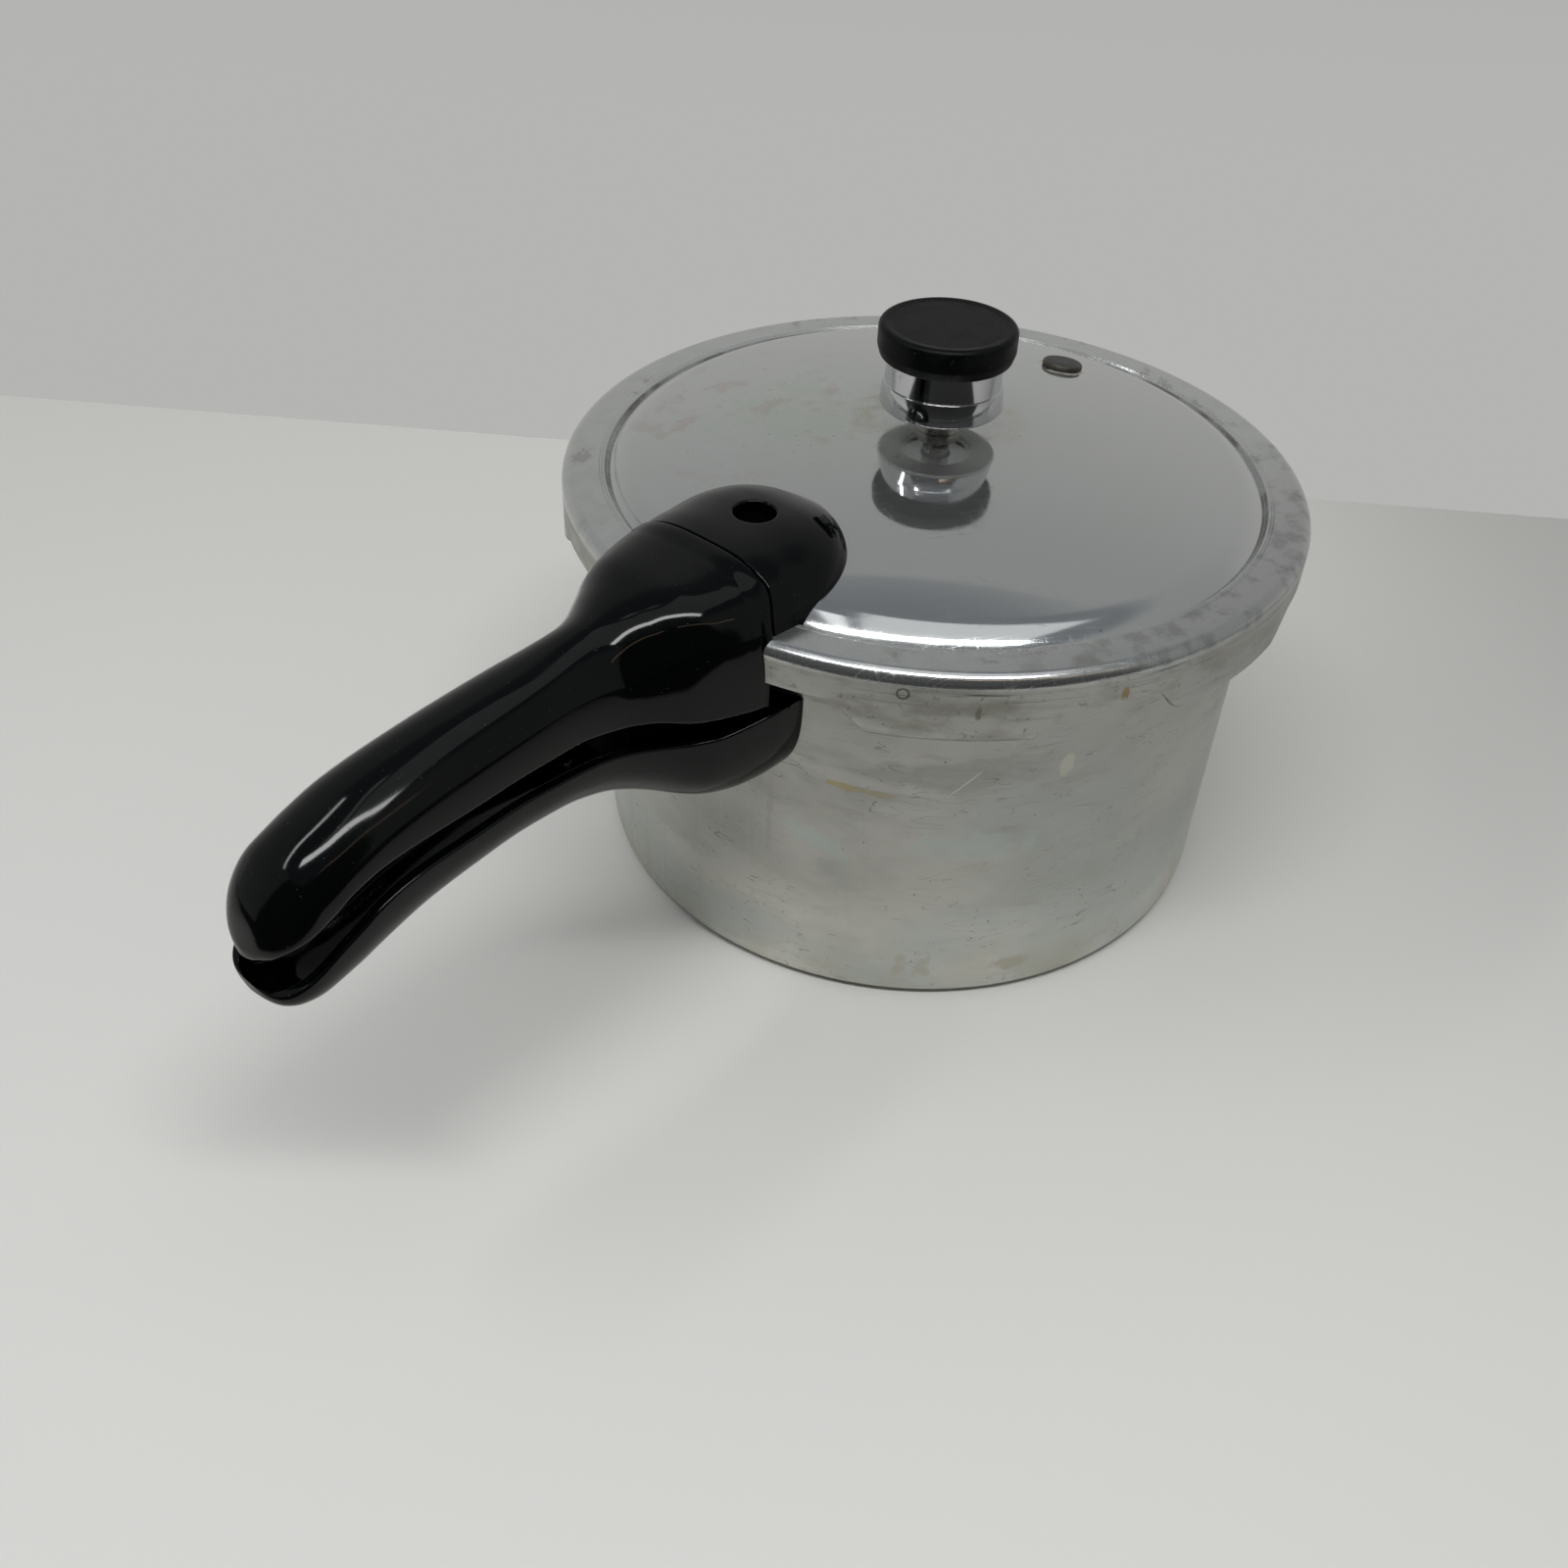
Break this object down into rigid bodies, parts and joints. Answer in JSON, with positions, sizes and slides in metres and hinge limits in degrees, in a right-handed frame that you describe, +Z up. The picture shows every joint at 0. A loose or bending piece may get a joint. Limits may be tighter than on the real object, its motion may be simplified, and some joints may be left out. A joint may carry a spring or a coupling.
{
  "type": "stovetop pressure cooker",
  "caption": "Stovetop pressure cooker: round pot with a twist-lock domed cover, two-part long handle, weighted pressure regulator, overpressure plug, cover lock pin and inner rack.",
  "frame": {"origin": "centre of the pot's flat base, on the surface it stands on", "axes": "+Z up along the pot's axis, +X outwards along the two halves of the handle"},
  "size_m": [0.3616, 0.226, 0.1725],
  "materials": {
    "pot_aluminium": "satin, mottled and scratched by use",
    "cover_aluminium": "polished, with fine scratches",
    "rack_aluminium": "satin",
    "handle_phenolic": "glossy black moulding",
    "cap_phenolic": "matte black moulding",
    "weight_chrome": "bright chrome with small pits",
    "seal_rubber": "matte black",
    "plug_rubber": "matte black",
    "bracket_steel": "plain sheet",
    "fastener_steel": "plain",
    "vent_steel": "turned",
    "pin_steel": "turned"
  },
  "bodies": {
    "pot": {"pot_body": "pot_aluminium", "handle_bracket": "bracket_steel", "lock_bracket": "bracket_steel", "bracket_rivets": "fastener_steel", "body_handle": "handle_phenolic", "body_handle_washer": "fastener_steel", "body_handle_screw": "fastener_steel"},
    "seal": {"sealing_ring": "seal_rubber"},
    "cover": {"cover": "cover_aluminium", "cover_bracket": "bracket_steel", "cover_bracket_rivets": "fastener_steel", "cover_handle": "handle_phenolic", "cover_handle_washer": "fastener_steel", "cover_handle_screw": "fastener_steel", "vent_pipe": "vent_steel", "vent_pipe_washer": "vent_steel", "vent_pipe_nut": "vent_steel", "overpressure_plug": "plug_rubber"},
    "lock_pin": {"lock_pin": "pin_steel", "lock_pin_gasket": "seal_rubber", "lock_pin_cap": "pin_steel"},
    "regulator": {"regulator_weight": "weight_chrome", "regulator_seat": "vent_steel", "regulator_cap": "cap_phenolic"},
    "rack": {"cooking_rack": "rack_aluminium"}
  },
  "joints": [
    {"name": "cover_lift", "type": "slide", "parent": "pot", "child": "seal", "axis": [0, 0, 1], "range_m": [0, 0.15]},
    {"name": "cover_twist", "type": "hinge", "parent": "seal", "child": "cover", "pos_m": [0, 0, 0.128], "axis": [0, 0, 1], "range_deg": [0, 22.5]},
    {"name": "regulator_lift", "type": "slide", "parent": "cover", "child": "regulator", "axis": [0, 0, 1], "range_m": [0, 0.03]},
    {"name": "lock_pin_rise", "type": "slide", "parent": "cover", "child": "lock_pin", "axis": [0, 0, 1], "range_m": [0, 0.005]},
    {"name": "rack_lift", "type": "slide", "parent": "pot", "child": "rack", "axis": [0, 0, 1], "range_m": [0, 0.08]}
  ]
}
